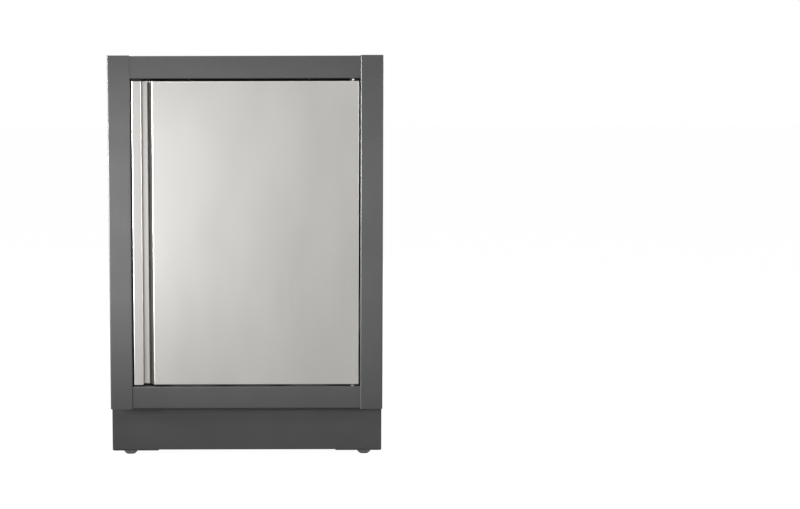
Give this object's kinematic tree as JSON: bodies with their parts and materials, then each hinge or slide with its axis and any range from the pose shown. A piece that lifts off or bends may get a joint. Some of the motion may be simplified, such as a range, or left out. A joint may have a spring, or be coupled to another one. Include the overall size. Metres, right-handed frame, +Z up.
{
  "type": "propane tank cabinet",
  "caption": "Outdoor base cabinet for a propane tank: folded frame on a set-back plinth, inset door with a full-height finger channel, vented panels, tank ring and levelling feet.",
  "frame": {"origin": "on the ground, under the middle of the cabinet", "axes": "+Z up, the front with its door faces -Y, +X is to the right seen from the front"},
  "size_m": [0.61, 0.61, 0.905],
  "materials": {
    "charcoal_paint": "satin powder coat, charcoal",
    "brushed_stainless": "brushed stainless steel, upright grain",
    "zinc_plate": "zinc plated",
    "black_nylon": "moulded, black",
    "black_rubber": "black"
  },
  "bodies": {
    "cabinet": {"front_post_left": "charcoal_paint", "front_post_right": "charcoal_paint", "rear_post_left": "charcoal_paint", "rear_post_right": "charcoal_paint", "front_rail_top": "charcoal_paint", "front_rail_bottom": "charcoal_paint", "rear_rail_top": "charcoal_paint", "rear_rail_bottom": "charcoal_paint", "left_rail_top": "charcoal_paint", "left_rail_bottom": "charcoal_paint", "right_rail_top": "charcoal_paint", "right_rail_bottom": "charcoal_paint", "post_end_caps": "charcoal_paint", "side_panel_left": "charcoal_paint", "side_panel_right": "charcoal_paint", "back_panel": "charcoal_paint", "floor_panel": "charcoal_paint", "tank_ring": "charcoal_paint", "kick_plate": "charcoal_paint", "plinth_left": "charcoal_paint", "plinth_right": "charcoal_paint", "plinth_rear": "charcoal_paint", "door_stop_angle": "charcoal_paint", "foot_bracket_front_left": "charcoal_paint", "foot_bracket_front_right": "charcoal_paint", "foot_bracket_rear_left": "charcoal_paint", "foot_bracket_rear_right": "charcoal_paint", "panel_rivets": "zinc_plate", "bracket_rivets": "zinc_plate", "tank_ring_screws": "zinc_plate", "foot_nuts": "zinc_plate", "bottom_pivot_pin": "zinc_plate", "bottom_pivot_nut": "zinc_plate", "catch_magnets": "zinc_plate", "rail_top_bush": "black_nylon", "catch_housings": "black_nylon", "hose_grommet_left": "black_rubber", "hose_grommet_right": "black_rubber", "door_bumpers": "black_rubber"},
    "door": {"door_skin": "brushed_stainless", "door_inner_pan": "brushed_stainless", "handle_lip": "brushed_stainless", "door_stiffeners": "brushed_stainless", "top_pin_bracket": "zinc_plate", "bottom_pin_bracket": "zinc_plate", "door_top_bush": "black_nylon", "door_bottom_bush": "black_nylon", "top_pin_spring": "zinc_plate", "strike_plates": "zinc_plate"},
    "top_pin": {"top_pivot_pin": "zinc_plate", "top_pin_knob": "zinc_plate"},
    "glide_front_left": {"foot_glide_front_left": "black_nylon"},
    "screw_front_left": {"foot_screw_front_left": "zinc_plate"},
    "glide_front_right": {"foot_glide_front_right": "black_nylon"},
    "screw_front_right": {"foot_screw_front_right": "zinc_plate"},
    "glide_rear_left": {"foot_glide_rear_left": "black_nylon"},
    "screw_rear_left": {"foot_screw_rear_left": "zinc_plate"},
    "glide_rear_right": {"foot_glide_rear_right": "black_nylon"},
    "screw_rear_right": {"foot_screw_rear_right": "zinc_plate"}
  },
  "joints": [
    {"name": "door_hinge", "type": "hinge", "parent": "cabinet", "child": "door", "pos_m": [0.2395, -0.296, 0.507], "axis": [0, 0, 1], "range_deg": [0, 110]},
    {"name": "top_pin_slide", "type": "slide", "parent": "door", "child": "top_pin", "axis": [0, 0, -1], "range_m": [0, 0.012], "stiffness_N_per_m": 900, "springref_m": -0.012, "deforming": ["top_pin_spring"]},
    {"name": "foot_lift_front_left", "type": "slide", "parent": "cabinet", "child": "glide_front_left", "axis": [0, 0, -1], "range_m": [0, 0.02]},
    {"name": "foot_turn_front_left", "type": "hinge", "parent": "glide_front_left", "child": "screw_front_left", "pos_m": [-0.267, -0.229, 0.02], "axis": [0, 0, -1], "range_deg": [0, 4800]},
    {"name": "foot_lift_front_right", "type": "slide", "parent": "cabinet", "child": "glide_front_right", "axis": [0, 0, -1], "range_m": [0, 0.02]},
    {"name": "foot_turn_front_right", "type": "hinge", "parent": "glide_front_right", "child": "screw_front_right", "pos_m": [0.267, -0.229, 0.02], "axis": [0, 0, -1], "range_deg": [0, 4800]},
    {"name": "foot_lift_rear_left", "type": "slide", "parent": "cabinet", "child": "glide_rear_left", "axis": [0, 0, -1], "range_m": [0, 0.02]},
    {"name": "foot_turn_rear_left", "type": "hinge", "parent": "glide_rear_left", "child": "screw_rear_left", "pos_m": [-0.267, 0.267, 0.02], "axis": [0, 0, -1], "range_deg": [0, 4800]},
    {"name": "foot_lift_rear_right", "type": "slide", "parent": "cabinet", "child": "glide_rear_right", "axis": [0, 0, -1], "range_m": [0, 0.02]},
    {"name": "foot_turn_rear_right", "type": "hinge", "parent": "glide_rear_right", "child": "screw_rear_right", "pos_m": [0.267, 0.267, 0.02], "axis": [0, 0, -1], "range_deg": [0, 4800]}
  ],
  "couplings": [
    {"joint": "foot_turn_front_left", "follows": "foot_lift_front_left", "rad_per_m": 4188.8},
    {"joint": "foot_turn_front_right", "follows": "foot_lift_front_right", "rad_per_m": 4188.8},
    {"joint": "foot_turn_rear_left", "follows": "foot_lift_rear_left", "rad_per_m": 4188.8},
    {"joint": "foot_turn_rear_right", "follows": "foot_lift_rear_right", "rad_per_m": 4188.8}
  ]
}
